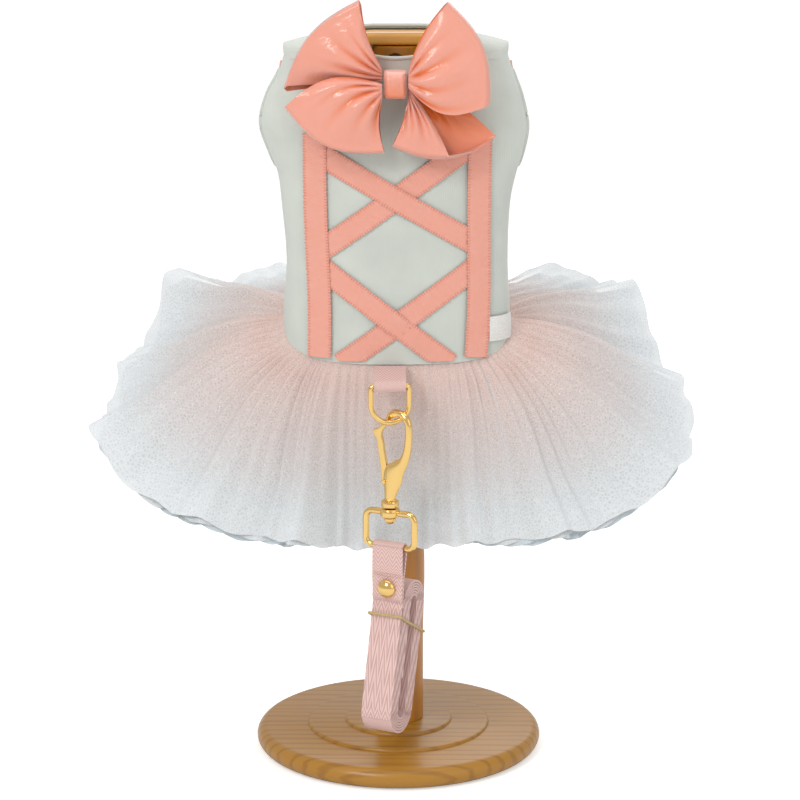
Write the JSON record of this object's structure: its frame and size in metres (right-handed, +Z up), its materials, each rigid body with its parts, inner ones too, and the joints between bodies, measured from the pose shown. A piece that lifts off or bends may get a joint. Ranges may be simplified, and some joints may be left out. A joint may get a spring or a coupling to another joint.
{
  "type": "dog tutu dress with leash on a wooden display stand",
  "caption": "Small dog's dress with a satin bow, ribbon lacing and a layered tulle skirt, with a clip-on webbing leash, hung on a turned wooden display stand.",
  "frame": {"origin": "centre of the stand base's underside", "axes": "+Z up, +X to the right of someone facing the dress's front, +Y to the back"},
  "size_m": [0.3716, 0.2398, 0.4784],
  "materials": {
    "stand_wood": "clear satin lacquer on pine",
    "bodice_cloth": "smooth matt knit, pale grey-green",
    "blush_tulle": "sheer blush net with fine glitter",
    "white_tulle": "sheer bluish-white net",
    "satin_ribbon": "satin weave, soft sheen",
    "bow_satin": "glossy satin",
    "label_cloth": "woven white",
    "pink_webbing": "flat pale pink webbing",
    "gold_metal": "polished pale gold plate",
    "tan_rubber": "plain rubber band"
  },
  "bodies": {
    "dress_on_stand": {"stand_base": "stand_wood", "stand_post": "stand_wood", "stand_crossbar": "stand_wood", "bodice": "bodice_cloth", "skirt_top": "blush_tulle", "skirt_middle": "blush_tulle", "skirt_under": "white_tulle", "band_left": "satin_ribbon", "band_right": "satin_ribbon", "cross_upper_front": "satin_ribbon", "cross_upper_back": "satin_ribbon", "cross_lower_front": "satin_ribbon", "cross_lower_back": "satin_ribbon", "bow_loop_upper_left": "bow_satin", "bow_loop_upper_right": "bow_satin", "bow_loop_lower_left": "bow_satin", "bow_loop_lower_right": "bow_satin", "bow_knot": "bow_satin", "arm_strap_left": "satin_ribbon", "arm_strap_right": "satin_ribbon", "side_label": "label_cloth", "ring_tab": "pink_webbing"},
    "ring": {"d_ring": "gold_metal"},
    "hook": {"hook_body": "gold_metal"},
    "gate": {"hook_gate": "gold_metal"},
    "leash": {"swivel_ring": "gold_metal", "leash_webbing": "pink_webbing", "leash_rivet": "gold_metal", "rubber_band": "tan_rubber"}
  },
  "joints": [
    {"name": "ring_swing", "type": "hinge", "parent": "dress_on_stand", "child": "ring", "pos_m": [-0.005, -0.0655, 0.24925], "axis": [-0.9903, -0.1392, 0], "range_deg": [0, 60]},
    {"name": "hook_swing", "type": "hinge", "parent": "ring", "child": "hook", "pos_m": [-0.0022, -0.0651, 0.2268], "axis": [-0.9903, -0.1392, 0], "range_deg": [0, 16]},
    {"name": "gate_hinge", "type": "hinge", "parent": "hook", "child": "gate", "pos_m": [-0.0074, -0.06119, 0.189], "axis": [0.6018, 0.7986, 0], "range_deg": [0, 20], "stiffness_Nm_per_rad": 0.02, "springref_deg": -17.19},
    {"name": "hook_swivel", "type": "hinge", "parent": "hook", "child": "leash", "pos_m": [-0.005, -0.063, 0.17], "axis": [0, 0, 1], "continuous": true}
  ]
}
